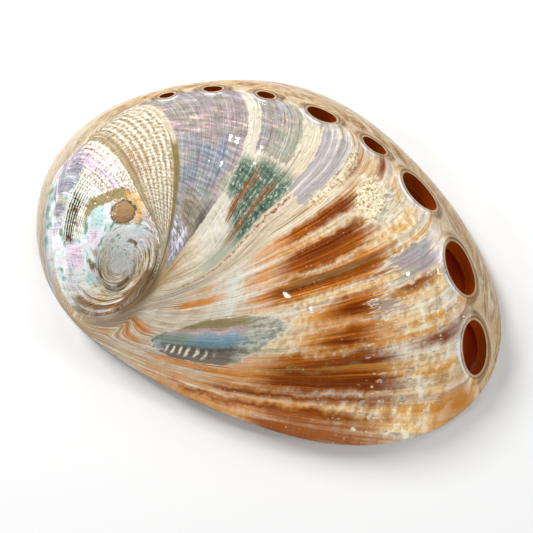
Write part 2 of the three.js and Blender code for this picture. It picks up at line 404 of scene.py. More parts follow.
def wall_thickness(disk):
    turned = np.arctan2(disk[:, 1], disk[:, 0]) - LEDGE_MIDDLE
    turned = np.arctan2(np.sin(turned), np.cos(turned))
    fade = np.maximum(np.cos(LEDGE_TURN * turned), 0)
    edge = LIP + LEDGE * fade**LEDGE_POWER
    return WALL + (edge - WALL) * smooth(LEDGE_START, 1, np.hypot(disk[:, 0], disk[:, 1])) ** 2


def outer_points(disk, holes):
    base = dome(disk)
    stand = relief(disk, base)
    edge = np.full(len(disk), FAR)
    for hole in holes:
        away = hole.distance(base)
        edge = np.minimum(edge, away)
        scale = hole.half_length / holes[0].half_length
        lip = np.exp(-(((away - LIP_OUT) / LIP_WIDTH) ** 2)) * (0.4 + 0.6 * scale)
        stand = stand + LIP_RISE * lip
    return base + dome_normal(disk) * stand[:, None], edge


def inner_points(disk, holes):
    base = dome(disk)
    edge = np.min([hole.middle_distance(base) - hole.half_length for hole in holes], axis=0)
    normal = dome_normal(disk)
    normal[:, 2] *= 1 - np.hypot(disk[:, 0], disk[:, 1]) ** LEVEL_RIM
    points = base - unit(normal) * wall_thickness(disk)[:, None]
    points[:, 2] = np.maximum(points[:, 2], 0)
    return points, edge


def build_surfaces():
    holes = [Hole(back, length) for back, length in zip(HOLE_BACKS, HOLE_LENGTHS)]
    coarse, fine = lattice(GRAIN), lattice(SPIRE_GRAIN)
    coarse = coarse[whorl_place(dome(coarse))[1] > SPIRE_REACH]
    fine = fine[whorl_place(dome(fine))[1] <= SPIRE_REACH]
    loose = np.concatenate([coarse, fine])
    loose = loose[clear_of(holes, dome(loose), HOLE_RINGS[-1] + 0.4 * GRAIN)]
    rings = [hole.ring(out) for hole in holes for out in HOLE_RINGS[1:]]
    edges = [hole.ring(0) for hole in holes]
    angle = TURN * np.arange(RIM_COUNT) / RIM_COUNT
    rim = np.stack([np.cos(angle), np.sin(angle)], axis=1)
    outer = triangulate(np.concatenate([loose] + rings), edges + [rim], holes)

    loose = lattice(INNER_GRAIN)
    loose = loose[clear_of(holes, dome(loose), 0.6 * INNER_GRAIN)]
    inner = triangulate(loose, edges + [rim], holes)
    return holes, outer, inner


def bridge(loops):
    """Faces between loops of vertices that follow one another, all of one length."""
    faces = []
    for a, b in zip(loops, loops[1:]):
        for i in range(len(a)):
            j = (i + 1) % len(a)
            faces += [(a[i], a[j], b[j]), (a[i], b[j], b[i])]
    return np.array(faces)


def shell_mesh():
    holes, (disk, faces, loops), (inner_disk, inner_faces, inner_loops) = build_surfaces()
    points, edge = outer_points(disk, holes)
    inside, inner_edge = inner_points(inner_disk, holes)
    inner_start = len(points)
    vertices = [points, inside]
    edges = [edge, inner_edge]
    all_faces = [faces, inner_faces[:, ::-1] + inner_start]
    total = inner_start + len(inside)
    for outer_loop, inner_loop in zip(loops, inner_loops):
        top, low = points[outer_loop], inside[inner_loop]
        is_rim = outer_loop is loops[-1]
        rows = [outer_loop]
        for share in WALL_ROWS:
            row = top + (low - top) * share
            vertices.append(row)
            edges.append(np.full(len(row), FAR if is_rim else 0.0))
            rows.append(range(total, total + len(row)))
            total += len(row)
        strip = bridge(rows + [[i + inner_start for i in inner_loop]])
        all_faces.append(strip if is_rim else strip[:, ::-1])
    vertices = np.concatenate(vertices)
    faces = np.concatenate(all_faces)
    return vertices, faces, len(all_faces[0]), np.concatenate(edges)


def corner_coordinates(vertices, faces):
    """Growth angle, share and angle back at each corner of each face. All corners of a face stay in
    the whorl of its middle, so that no face spans the suture's jump."""
    middle_back, _ = whorl_place(vertices[faces].mean(axis=1))
    raw, radius = whorl_place(vertices)
    back = raw[faces]
    back = back + TURN * np.round((middle_back[:, None] - back) / TURN)
    radius = radius[faces]
    share = whorl_share(back, radius)
    growth = growth_angle(back, share)
    return np.stack([growth, share, np.degrees(back)], axis=-1)


def make_object(name, vertices, faces):
    mesh = bpy.data.meshes.new(name)
    mesh.from_pydata((vertices * MM).tolist(), [], faces.tolist())
    mesh.polygons.foreach_set("use_smooth", [True] * len(mesh.polygons))
    mesh.update()
    thing = bpy.data.objects.new(name, mesh)
    bpy.context.scene.collection.objects.link(thing)
    return thing


class Signal:
    """A number or colour that varies over a surface: an output of a shader node."""

    def __init__(self, graph, socket):
        self.graph, self.socket = graph, socket

    def __add__(self, other):
        return self.graph.math("ADD", self, other)

    def __sub__(self, other):
        return self.graph.math("SUBTRACT", self, other)

    def __mul__(self, other):
        return self.graph.math("MULTIPLY", self, other)

    def __truediv__(self, other):
        return self.graph.math("DIVIDE", self, other)

    def rise(self, low, high, soft=True):
        """0 below low and 1 above high, smoothly between; low may be above high."""
        inputs = {"Value": self, "From Min": min(low, high), "From Max": max(low, high)}
        inputs |= {"To Min": float(low > high), "To Max": float(low <= high)}
        kind = "SMOOTHSTEP" if soft else "LINEAR"
        return self.graph.signal("ShaderNodeMapRange", inputs, interpolation_type=kind)

    def between(self, low, high, soft):
        return self.rise(low - soft, low + soft) * self.rise(high + soft, high - soft)

    def ramp(self, *stops):
        node = self.graph.node("ShaderNodeValToRGB", {"Fac": self})
        elements = node.color_ramp.elements
        while len(elements) < len(stops):
            elements.new(0.5)
        for element, (position, color) in zip(elements, stops):
            element.position = position
            element.color = (*color, 1)
        return Signal(self.graph, node.outputs["Color"])

    def noise(self, scale, detail, roughness, distortion=0.0):
        inputs = {"Vector": self, "Scale": scale, "Detail": detail}
        inputs |= {"Roughness": roughness, "Distortion": distortion}
        return self.graph.signal("ShaderNodeTexNoise", inputs)

    def parts(self, kind="ShaderNodeSeparateXYZ"):
        node = self.graph.node(kind, {0: self})
        return [Signal(self.graph, output) for output in node.outputs]

    def channels(self):
        return self.parts("ShaderNodeSeparateColor")


class Graph:
    """One material's shader nodes, with signals that say where each point of the shell lies."""

    def __init__(self, name):
        self.material = bpy.data.materials.new(name)
        self.material.use_nodes = True
        self.tree = self.material.node_tree
        self.shader = self.tree.nodes["Principled BSDF"]
        corner = self.signal("ShaderNodeAttribute", output="Vector", attribute_name="growth")
        self.growth, self.share, self.back = corner.parts()
        inputs = {0: self.signal("ShaderNodeTexCoord", output="Object"), "Scale": 1 / MM}
        self.space = self.signal("ShaderNodeVectorMath", inputs, operation="SCALE")
        self.edge = self.signal("ShaderNodeAttribute", output="Fac", attribute_name="edge")

    def put(self, value, socket):
        if isinstance(value, Signal):
            self.tree.links.new(value.socket, socket)
        else:
            socket.default_value = (*value, 1) if isinstance(value, tuple) else value

    def node(self, kind, inputs=(), **settings):
        node = self.tree.nodes.new(kind)
        for name, value in settings.items():
            setattr(node, name, value)
        for name, value in dict(inputs).items():
            self.put(value, node.inputs[name])
        return node

    def signal(self, kind, inputs=(), output=0, **settings):
        return Signal(self, self.node(kind, inputs, **settings).outputs[output])

    def math(self, operation, *values):
        return self.signal("ShaderNodeMath", enumerate(values), operation=operation)

    def most(self, *signals):
        found = signals[0]
        for signal in signals[1:]:
            found = self.math("MAXIMUM", found, signal)
        return found

    def vector(self, x, y, z=0.0):
        return self.signal("ShaderNodeCombineXYZ", {0: x, 1: y, 2: z})

    def weave(self, growth_scale, share_scale, seed, detail, roughness):
        """Noise that follows the growth lines and the cords."""
        place = self.vector(self.growth * growth_scale, self.share * share_scale, seed)
        return place.noise(1.0, detail, roughness)

    def mix(self, under, over, amount, blend="MIX"):
        """One colour laid over another, or multiplied into it, where amount is 1."""
        inputs = {0: amount, 6: under, 7: over}
        return self.signal("ShaderNodeMix", inputs, 2, data_type="RGBA", blend_type=blend)


# How far a ragged edge wanders: in degrees of growth, and in shares.
RAGGED_SIDES = 5.0
RAGGED_ENDS = 0.16
# A colour ramp holds at most 32 stops, and a spot takes four.
ROW_LENGTH = 7


class Skin(Graph):
    """The shell's outside: its fine pattern, and the coats of colour laid on it so far."""

    def __init__(self, name):
        super().__init__(name)
        self.line = self.weave(1.4, 2.5, 0.0, 4.0, 0.72)
        self.streak = self.weave(0.42, 1.6, 0.0, 4.0, 0.62)
        self.broad = self.weave(0.13, 3.0, 0.0, 2.0, 0.5)
        self.cord = self.weave(0.1, 62, 0.0, 2.0, 0.6)
        self.check = self.weave(0.9, 55, 0.0, 2.0, 0.6)
        self.rib = self.waves(self.share, 38, self.weave(0.2, 9, 4.0, 2.0, 0.5) * 9)
        self.ends = self.weave(0.9, 4, 3.0, 3.0, 0.6) - 0.5
        self.sides = self.weave(0.15, 26, 5.0, 3.0, 0.65) - 0.5
        self.color = None

    def waves(self, along, count, shift):
        return self.math("SINE", along * (count * TURN) + shift) * 0.5 + 0.5

    def ragged(self, amount):
        """The growth angle and the share, wandering by a few growth lines and cords."""
        sides, ends = self.sides * (RAGGED_SIDES * amount), self.ends * (RAGGED_ENDS * amount)
        return self.growth + sides, self.share + ends

    def patches(self, spots, soft=(0.7, 0.02), ragged=1.0):
        return self.spots(self.ragged(ragged), spots, soft)

    def spots(self, place, spots, soft):
        """1 inside any of the spots. Each spans some angles and some shares, with soft edges."""
        rows = []
        gap = 2 * soft[0]
        for spot in sorted(spots):
            open_rows = [row for row in rows if len(row) < ROW_LENGTH]
            free = [row for row in open_rows if row[-1][0][1] + gap < spot[0][0]]
            if free:
                free[0].append(spot)
            else:
                rows.append([spot])
        return self.most(*[self.row(place, row, soft) for row in rows])

    def row(self, place, spots, soft):
        """Spots that follow one another along the angle."""
        stops = []
        for (first, last), (low, high) in spots:
            edge = min(soft[0], (last - first) / 2)
            ends = (first - edge, 0), (first + edge, 1), (last - edge, 1), (last + edge, 0)
            stops += [(angle, low, high, strength) for angle, strength in ends]
        return self.arc(place, stops, soft[1])

    def arc(self, place, stops, soft):
        """A band whose lowest share, highest share and strength follow stops along the angle."""
        angle, share = place
        start, end = stops[0][0], stops[-1][0]
        held = [((stop[0] - start) / (end - start), stop[1:]) for stop in stops]
        low, high, strength = angle.rise(start, end, False).ramp(*held).channels()
        return (share - low).rise(-soft, soft) * (high - share).rise(-soft, soft) * strength

    def paint(self, over, amount):
        """Lays one more coat over the colour so far, where amount is 1."""
        self.color = self.mix(self.color, over, amount)

    def paint_patches(self, over, strength, soft, *spots):
        self.paint(over, self.patches(spots, soft) * strength)

    def shade(self, factor):
        self.color = self.mix(self.color, factor, 1.0, "MULTIPLY")


# Colours, as the shares of red, green and blue light that they send back.
WHITE = (0.95, 0.88, 0.74)
CREAM = (0.74, 0.58, 0.37)
STRAW = (0.62, 0.47, 0.28)
BARK = (0.34, 0.2, 0.09)
TAN = (0.5, 0.29, 0.11)
BROWN = (0.24, 0.12, 0.04)
DARK_BROWN = (0.09, 0.04, 0.012)
PEACH = (0.8, 0.46, 0.18)
ORANGE = (0.78, 0.27, 0.01)
RUST = (0.36, 0.088, 0.001)
DARK_RUST = (0.18, 0.032, 0.001)
TEAL = (0.15, 0.24, 0.175)
DEEP_TEAL = (0.05, 0.1, 0.075)
PALE_TEAL = (0.46, 0.52, 0.4)
OLIVE = (0.34, 0.26, 0.1)
MAUVE = (0.46, 0.38, 0.38)
SILVER = (0.42, 0.43, 0.42)
BLUE_GREY = (0.3, 0.35, 0.42)
GREEN_GREY = (0.48, 0.47, 0.36)
DARK_GREY = (0.17, 0.15, 0.13)
PEARL = (0.84, 0.93, 0.95)
MINT = (0.5, 0.8, 0.74)

# Spots of the newest whorl: first and last growth angle, lowest and highest share.
SOFT_RAYS = (
    ((28, 34), (0.3, 0.46)), ((38, 41), (0.32, 0.45)), ((14, 19), (0.1, 0.26)),
    ((8, 12), (0.08, 0.25)), ((40, 47), (0.55, 0.74)), ((23, 31), (0.55, 0.7)),
    ((3, 5.5), (0.3, 0.62)), ((-1, 9), (0.54, 0.72)), ((9, 22), (0.72, 0.88)),
    ((31, 39), (0.55, 0.66)), ((-6, -1), (0.3, 0.8)),
)
STRONG_RAYS = (
    ((42.5, 47), (0.66, 0.87)), ((31.5, 39.5), (0.65, 0.87)), ((24, 30.5), (0.62, 0.88)),
    ((16.5, 21.5), (0.765, 0.86)), ((9.8, 14.5), (0.76, 0.85)), ((0.5, 8.8), (0.67, 0.88)),
    ((-1.2, 0.2), (0.55, 0.9)), ((49, 52), (0.88, 0.96)), ((42, 45), (0.94, 1.0)),
    ((18, 20.5), (0.89, 0.96)), ((7, 9.5), (0.93, 1.0)), ((-3.8, -2.6), (0.45, 0.88)),
)
RAY_CORES = (
    ((33, 37), (0.7, 0.84)), ((43, 45.5), (0.74, 0.85)), ((17.5, 20), (0.78, 0.84)),
    ((6, 8.5), (0.7, 0.86)), ((3.4, 5.3), (0.7, 0.85)), ((0.9, 2.8), (0.71, 0.87)),
)
WIDE_WINDOWS = ((84.5, 117), (0.1, 1.02)), ((66.5, 80), (0.785, 1.0)), ((52, 61), (0.74, 0.97))
SMALL_WINDOWS = ((20, 26.5), (0.88, 0.97)), ((15, 19), (0.855, 0.885)), ((36, 40), (0.89, 0.95))

# The long window low on the shell: growth angle, lowest and highest share, strength.
LONG_WINDOW = (
    (5.6, 0.4, 0.54, 0), (6.2, 0.37, 0.57, 1), (9.0, 0.3, 0.61, 1), (13.0, 0.27, 0.65, 1),
    (17.0, 0.3, 0.68, 1), (19.0, 0.35, 0.66, 1), (22.4, 0.42, 0.58, 1), (23.2, 0.46, 0.54, 0),
)

# The grainy golden rosette: the growth angle and share of its middle, and its half sizes.
ROSETTE = (41, 0.898)
ROSETTE_SIZE = (4.4, 0.031)

# The early whorls, by their angle back in degrees: how brown they are, and the olive arc on them.
SPIRE_BROWN_FROM, SPIRE_BROWN_TO = 172, 712
SPIRE_BROWN = (
    (0.08, 0.0), (0.16, 1.0), (0.4, 1.0), (0.46, 0.1), (0.6, 0.2), (0.74, 0.95),
    (0.92, 0.95), (1.0, 0.3),
)
OLIVE_ARC = (
    (80, 0.0, 0.05, 0), (84, 0.0, 0.06, 1), (96, 0.12, 0.18, 1), (106, 0.26, 0.32, 1),
    (120, 0.32, 0.44, 1), (140, 0.39, 0.51, 1), (152, 0.48, 0.61, 1), (164, 0.52, 0.6, 1),
    (170, 0.54, 0.58, 0),
)
AMBER_MIDDLE = (118, 0.15)
AMBER_SIZE = (19, 0.14)
AMBER_ROUND = (1.75, 1.15)

# How much wider a share is across the early whorls than across the newest one.
STRIP_STRETCH = 1.67


def cream_layer(skin):
    """The outer, chalky layer: white and tan growth lines, warmer towards the suture and the lip, with
    painted highlights on the line crests near the suture.
    """
    growth, share, line = skin.growth, skin.share, skin.line
    mixed = line * 0.98 + skin.streak * 0.42 - 0.2
    skin.color = mixed.ramp((0.37, BARK), (0.43, CREAM), (0.48, WHITE), (0.525, STRAW), (0.57, WHITE))
    warm = mixed.ramp((0.37, ORANGE), (0.43, PEACH), (0.48, CREAM), (0.53, PEACH), (0.58, WHITE))
    cool = (line * 0.6 + skin.cord * 0.4).ramp((0.36, GREEN_GREY), (0.48, WHITE), (0.62, PEARL))
    skin.paint_patches(cool, 0.75, (6, 0.06), ((20, 46), (0.42, 0.62)))
    older = growth.rise(60, 72) * growth.rise(120, 100)
    skin.paint(cool, older * share.rise(0.25, 0.42) * 0.6)
    skin.paint(TAN, older * share.rise(0.34, 0.1) * 0.55)
    newest = growth.rise(9, -2)
    right = growth.rise(62, 40) * share.rise(0.62, 0.86)
    low = share.rise(0.2, 0.03)
    skin.paint(warm, skin.most(newest * 0.8, right * 0.65, low * growth.rise(60, 30) * 0.8))
    skin.paint(TAN, low * 0.3)
    # Painted highlight: near-white on the crests of the growth lines near the suture.
    crest_highlights = line.rise(0.51, 0.58) * share.rise(0.42, 0.15)
    skin.paint((1.0, 0.96, 0.88), crest_highlights * growth.rise(62, 45) * 0.9)


def newest_ground(skin):
    """The newest part beside the holes: cream and gold bands, crossed by short bright dashes, which are
    painted glints.
    """
    here = skin.growth.rise(50, 36) * skin.share.rise(0.55, 0.74)
    ground = skin.weave(0.36, 1.4, 13.0, 3.0, 0.6).ramp(
        (0.36, (0.78, 0.34, 0.05)), (0.42, (0.92, 0.56, 0.2)), (0.49, (1.0, 0.82, 0.52)),
        (0.54, (0.66, 0.56, 0.4)), (0.61, (1.0, 0.94, 0.8)),
    )
    skin.paint(ground, here * 0.75)
    dash = skin.weave(0.5, 75, 11.0, 2.0, 0.55)
    skin.paint((0.52, 0.3, 0.1), dash.rise(0.46, 0.38) * here * 0.5)
    # Painted highlight: short pale gold glints along the growth lines.
    skin.paint((1.0, 0.93, 0.74), dash.rise(0.54, 0.62) * here * 0.8)
    crack = skin.weave(0.9, 30, 17.0, 3.0, 0.6)
    skin.paint((0.33, 0.32, 0.33), crack.rise(0.62, 0.66) * here * 0.7)


def rays(skin):
    """Orange to dark rust rays, widest halfway down the newest part and broken into short dashes."""
    soft_rays = skin.patches(SOFT_RAYS, (1.6, 0.05))
    skin.paint(ORANGE, soft_rays * skin.streak.rise(0.68, 0.4) * 0.85)
    strong_rays = skin.patches(STRONG_RAYS, (0.9, 0.04), 0.8)
    tone = (skin.streak * 0.5 + skin.line * 0.5).ramp((0.42, DARK_RUST), (0.51, RUST), (0.6, ORANGE))
    skin.paint(tone, strong_rays * skin.line.rise(0.76, 0.62) * 0.97)
    skin.paint_patches(DARK_RUST, 0.25, (0.8, 0.03), *RAY_CORES)
    corner = skin.patches([((-9, -3.4), (0.68, 0.9))], (0.6, 0.03))
    skin.paint(RUST, corner * skin.streak.rise(0.66, 0.46) * 0.9)
    skin.paint_patches(OLIVE, 0.5, (0.6, 0.03), ((27.5, 29.5), (0.66, 0.84)), ((5.2, 6.1), (0.66, 0.87)))


def teal_patch(skin):
    """A sea green patch striped with rust, and the crinkled white edge in front of it."""
    skin.paint_patches(PALE_TEAL, 0.7, (2, 0.06), ((60, 68), (0.34, 0.56)))
    teal = skin.patches([((75, 84), (0.56, 0.74)), ((60, 76), (0.5, 0.77))], (1.2, 0.03), 0.6)
    tone = (skin.line * 0.6 + skin.cord * 0.4).ramp((0.38, DEEP_TEAL), (0.5, TEAL), (0.66, PALE_TEAL))
    skin.paint(tone, teal)
    skin.paint(WHITE, skin.check.rise(0.57, 0.64) * teal * 0.6)
    stripes = skin.patches([((73, 76.5), (0.5, 0.72)), ((65.5, 68.5), (0.46, 0.71))], (0.7, 0.03))
    skin.paint(RUST, stripes * skin.line.rise(0.62, 0.45) * 0.9)
    crease = skin.patches([((57.3, 58.6), (0.25, 0.76))], (0.4, 0.04))
    skin.paint(RUST, crease * skin.check.rise(0.35, 0.5) * 0.9)
    skin.paint(WHITE, crease * skin.check.rise(0.56, 0.62))


def long_window_color(skin):
    """Bands of brown, blue, pink and olive that follow the growth lines, and a pale green end. The pale
    bars across the dark band are painted glints.
    """
    growth, share = skin.ragged(0.7)
    color = growth.rise(6, 23, False).ramp(
        (0.0, (0.3, 0.25, 0.2)), (0.3, (0.19, 0.16, 0.13)), (0.4, (0.2, 0.32, 0.36)),
        (0.55, (0.3, 0.44, 0.54)), (0.65, (0.4, 0.46, 0.46)), (0.7, (0.76, 0.52, 0.6)),
        (0.76, (0.54, 0.44, 0.32)), (0.84, (0.34, 0.27, 0.13)), (1.0, (0.44, 0.37, 0.22)),
    )
    middle = growth.between(12.5, 17.5, 1.5) * share.rise(0.46, 0.38)
    color = skin.mix(color, (0.36, 0.42, 0.3), middle * 0.8)
    pale = skin.check.ramp((0.4, (0.36, 0.36, 0.27)), (0.55, (0.62, 0.62, 0.52)))
    color = skin.mix(color, pale, share.rise(0.55, 0.6) * 0.85)
    # Painted highlight: pale glints in bars across the dark band.
    glint_bars = growth.between(7.8, 11.0, 0.8) * share.between(0.33, 0.5, 0.04)
    return skin.mix(color, (0.95, 0.95, 0.78), glint_bars * skin.rib.rise(0.45, 0.95))


def nacre(skin):
    """Mother of pearl: drifts of silver, mauve, blue and olive, crossed by fine bright dashes, with white
    and pale lilac painted highlights in a few patches.
    """
    growth, cord, check, line, streak = skin.growth, skin.cord, skin.check, skin.line, skin.streak
    stops = (0.3, BLUE_GREY), (0.42, SILVER), (0.5, MAUVE), (0.58, GREEN_GREY), (0.68, SILVER)
    skin.color = skin.weave(0.09, 5.0, 9.0, 3.0, 0.6).ramp(*stops)
    skin.paint_patches(BLUE_GREY, 0.45, (2.5, 0.05), ((93, 112), (0.45, 0.74)))
    lavender = skin.patches([((51, 62), (0.7, 1.0))], (2.5, 0.05))
    skin.paint((0.52, 0.48, 0.47), lavender)
    # Painted highlight: white streaks on the lavender patch.
    skin.paint(WHITE, lavender * streak.rise(0.56, 0.7) * 0.8)
    speckled = growth.between(64, 82, 2.0) * check.rise(0.5, 0.62)
    skin.paint((0.5, 0.52, 0.38), speckled * 0.7)
    skin.paint_patches(OLIVE, 0.45, (2, 0.04), ((84, 108), (0.26, 0.43)))
    skin.paint_patches(MAUVE, 0.5, (2, 0.03), ((84, 118), (0.74, 0.97)))
    skin.paint_patches(DARK_GREY, 0.8, (1.5, 0.03), ((84, 90), (0.34, 0.44)))
    skin.paint(long_window_color(skin), growth.rise(30, 26) * skin.share.rise(0.8, 0.76))
    plaid = cord.rise(0.54, 0.64) * check.rise(0.48, 0.6)
    dashes = plaid * skin.patches([((66, 118), (0.76, 0.96))], (2, 0.02))
    skin.paint((0.95, 0.55, 0.42), dashes * 0.75)
    # Painted highlights: pale lilac streaks in two patches.
    bright = skin.patches([((88, 114), (0.13, 0.26)), ((5, 12), (0.25, 0.32))], (3, 0.03))
    skin.paint((0.9, 0.86, 1.0), bright * cord.rise(0.42, 0.56))
    newer = line * 0.35 + streak * 0.2 + 0.225
    older = line * 0.6 + cord * 0.4
    fine = newer + growth.rise(62, 84) * (older - newer)
    skin.shade(fine.ramp((0.38, (0.62, 0.62, 0.63)), (0.5, (1.0, 1.0, 1.0)), (0.62, (1.65, 1.6, 1.7))))


def windows(skin):
    """Where the polish has cut through to the mother of pearl."""
    net = skin.check.rise(0.6, 0.66) * skin.patches([((-4, 24), (0.84, 0.98))], (2, 0.02))
    return skin.most(
        skin.patches(WIDE_WINDOWS, (0.5, 0.012), 0.55),
        skin.arc(skin.ragged(0.35), LONG_WINDOW, 0.012),
        skin.patches(SMALL_WINDOWS, (0.8, 0.015)),
        net * 0.8,
    )


def ribbed_band(skin):
    """The older part ahead of the spire: cream, closely cross-ribbed, with a few coloured lines. The brown
    between the ribs is partly the shell's colour and partly painted shade in the grooves.
    """
    growth, share, check, line = skin.growth, skin.share, skin.check, skin.line
    grid = skin.math("SINE", growth * (TURN / 2.6) + skin.sides * 5) * 0.07
    cross = skin.rib * 0.07 + grid + check * 0.55 + line * 0.4
    # Partly painted shade: the darkest tones fall between the ribs.
    ribs = cross.ramp(
        (0.38, (0.42, 0.29, 0.16)), (0.46, (0.6, 0.48, 0.31)), (0.53, (0.76, 0.67, 0.5)),
        (0.6, (1.0, 0.97, 0.9)),
    )
    skin.paint(ribs, growth.between(119.5, 160, 1.5))
    pearl = growth.between(144, 160, 2.0) * check.rise(0.46, 0.56)
    skin.paint((0.95, 0.8, 0.95), pearl * 0.7)
    angle = skin.ragged(0.5)[0]
    ring = angle.between(150, 154, 1.0) * skin.cord.rise(0.46, 0.54)
    skin.paint((0.62, 0.46, 0.78), ring * share.rise(0.3, 0.5) * 0.7)
    tan_line = angle.between(138.5, 142.5, 1.4) * line.rise(0.7, 0.5)
    skin.paint((0.44, 0.32, 0.16), tan_line * 0.8)
    specks = check.rise(0.52, 0.6) * skin.patches([((132, 141), (0.48, 0.74))], (2, 0.04))
    skin.paint((0.42, 0.16, 0.05), specks * 0.9)
    olive = growth.between(116.5, 120.6, 0.7) * share.rise(0.76, 0.68)
    skin.paint(OLIVE, olive * 0.95)


def side_color(skin):
    """Streaks of tan, cream and pinkish brown along the wall outside the holes."""
    x, y, z = skin.space.parts()
    return skin.vector(x * 0.07, y * 0.07, z * 0.5).noise(1.0, 5.0, 0.65).ramp(
        (0.34, (0.28, 0.14, 0.05)), (0.43, (0.52, 0.31, 0.13)), (0.5, (0.74, 0.58, 0.36)),
        (0.56, (0.46, 0.25, 0.11)), (0.66, (0.82, 0.7, 0.5)),
    )


def around_holes(skin):
    """Silver on the inner side of the row, partly the nacre's colour and partly painted highlight, with a
    thin painted highlight near each hole's edge; brown swirls outside the row, and a pale lip to each
    hole.
    """
    share, edge, broad, streak = skin.share, skin.edge, skin.broad, skin.streak
    inner = share.rise(1.0, 0.97)
    # Partly painted highlight: a silver and white streak just inside the row.
    ridge = share.between(0.965, 0.995, 0.008) * skin.back.rise(100, 85)
    ridge = ridge * streak.rise(0.4, 0.56)
    silver = skin.mix(SILVER, (0.92, 0.86, 0.9), streak.rise(0.45, 0.6))
    near = edge.rise(2.4, 1.2)
    skin.paint(silver, skin.most(ridge * 0.35, near * inner * 0.9))
    # Painted highlight: a thin near-white line about a millimetre from each hole's edge.
    painted_highlight = edge.between(1.0, 1.5, 0.15) * inner
    skin.paint((1.0, 0.98, 1.0), painted_highlight * broad.rise(0.44, 0.52))
    swirl = edge.rise(5.5, 2.5) * share.rise(0.99, 1.01)
    rings = edge * 0.1 + broad * 0.25
    skin.paint(rings.ramp((0.14, BROWN), (0.24, TAN), (0.32, BROWN), (0.42, CREAM)), swirl * 0.9)
    skin.paint((0.2, 0.11, 0.05), edge.between(0.6, 1.0, 0.2) * 0.6)
    skin.paint((0.6, 0.46, 0.28), edge.rise(0.6, 0.3))


def pearl_color(skin, back, share):
    return skin.vector(back * 0.055, share * 4.5, 8.0).noise(1.0, 3.0, 0.6).ramp(
        (0.36, (0.34, 0.38, 0.3)), (0.41, (0.55, 0.8, 0.76)), (0.45, (0.9, 1.0, 1.0)),
        (0.51, (1.0, 1.0, 0.97)), (0.55, (0.96, 0.8, 0.93)), (0.59, (0.66, 0.9, 0.98)),
        (0.65, (0.62, 0.56, 0.4)),
    )


def early_ground(skin):
    """The early whorls: pearl at the back, brown and cream lines towards the newest part."""
    skin.color = pearl_color(skin, skin.back, skin.share)
    brown = skin.vector(skin.back * 0.018, skin.share * 15).noise(1.0, 3.0, 0.6).ramp(
        (0.36, (0.16, 0.08, 0.03)), (0.43, (0.46, 0.3, 0.14)), (0.48, (0.88, 0.8, 0.64)),
        (0.53, (0.5, 0.34, 0.17)), (0.57, (0.88, 0.8, 0.64)), (0.62, (1.0, 0.99, 0.94)),
    )
    back = skin.back + (skin.ends + skin.sides) * 16
    turned = back.rise(SPIRE_BROWN_FROM, SPIRE_BROWN_TO, False)
    amount = turned.ramp(*[(stop, (value, value, value)) for stop, value in SPIRE_BROWN])
    skin.paint(brown, amount.channels()[0])


def early_marks(skin):
    """The drawing on the early whorls: an olive arc round an amber oval, and a dark ribbed streak."""
    where = skin.back + skin.sides * 12, skin.share + skin.ends * 0.12
    lavender = skin.spots(where, [((146, 184), (0.87, 1.06))], (5, 0.03))
    skin.paint((0.34, 0.32, 0.38), lavender * skin.broad.rise(0.62, 0.45) * 0.9)
    mint = [((148, 166), (0.2, 0.5)), ((224, 238), (0.2, 0.6))]
    skin.paint(MINT, skin.spots(where, mint, (5, 0.06)) * 0.7)
    pink = [((166, 182), (0.12, 0.4)), ((192, 214), (0.5, 0.8))]
    skin.paint((0.9, 0.66, 0.84), skin.spots(where, pink, (5, 0.06)) * 0.7)
    lines = skin.waves(skin.share, 30, skin.ends * 4) * 0.3 + skin.check * 0.4 + skin.line * 0.3
    pale = lines.ramp((0.36, (0.34, 0.3, 0.2)), (0.46, (0.8, 0.76, 0.62)), (0.56, (1.0, 0.98, 0.92)))
    skin.paint(pale, skin.spots(where, [((148, 187), (0.55, 0.86))], (4, 0.02)) * 0.9)
    dark = lines.ramp((0.42, (0.03, 0.05, 0.03)), (0.5, (0.14, 0.16, 0.1)), (0.6, (0.8, 0.78, 0.66)))
    skin.paint(dark, skin.spots(where, [((160, 189), (0.69, 0.83))], (3, 0.02)))
    dots = [((167, 171), (0.7, 0.79)), ((175, 178), (0.63, 0.69)), ((186, 191), (0.71, 0.79))]
    skin.paint((0.12, 0.045, 0.015), skin.spots(where, dots, (1.2, 0.015)) * 0.9)
    skin.paint((0.38, 0.29, 0.12), skin.arc(where, OLIVE_ARC, 0.012) * 0.92)
    amber_oval(skin, where)


def amber_oval(skin, place):
    """A small oval of amber with an olive edge, where the polish has gone through an old growth line."""
    along, across = ((place[i] - AMBER_MIDDLE[i]) / AMBER_SIZE[i] for i in range(2))
    longer, shorter = (along + across) / AMBER_ROUND[0], (along - across) / AMBER_ROUND[1]
    size = skin.math("SQRT", longer * longer + shorter * shorter)
    skin.paint((0.98, 0.62, 0.26), size.between(1.15, 1.7, 0.25) * along.rise(0.3, -0.6) * 0.8)
    skin.paint((0.24, 0.17, 0.08), size.rise(1.12, 1.0))
    skin.paint((0.5, 0.32, 0.17), size.rise(0.95, 0.82))


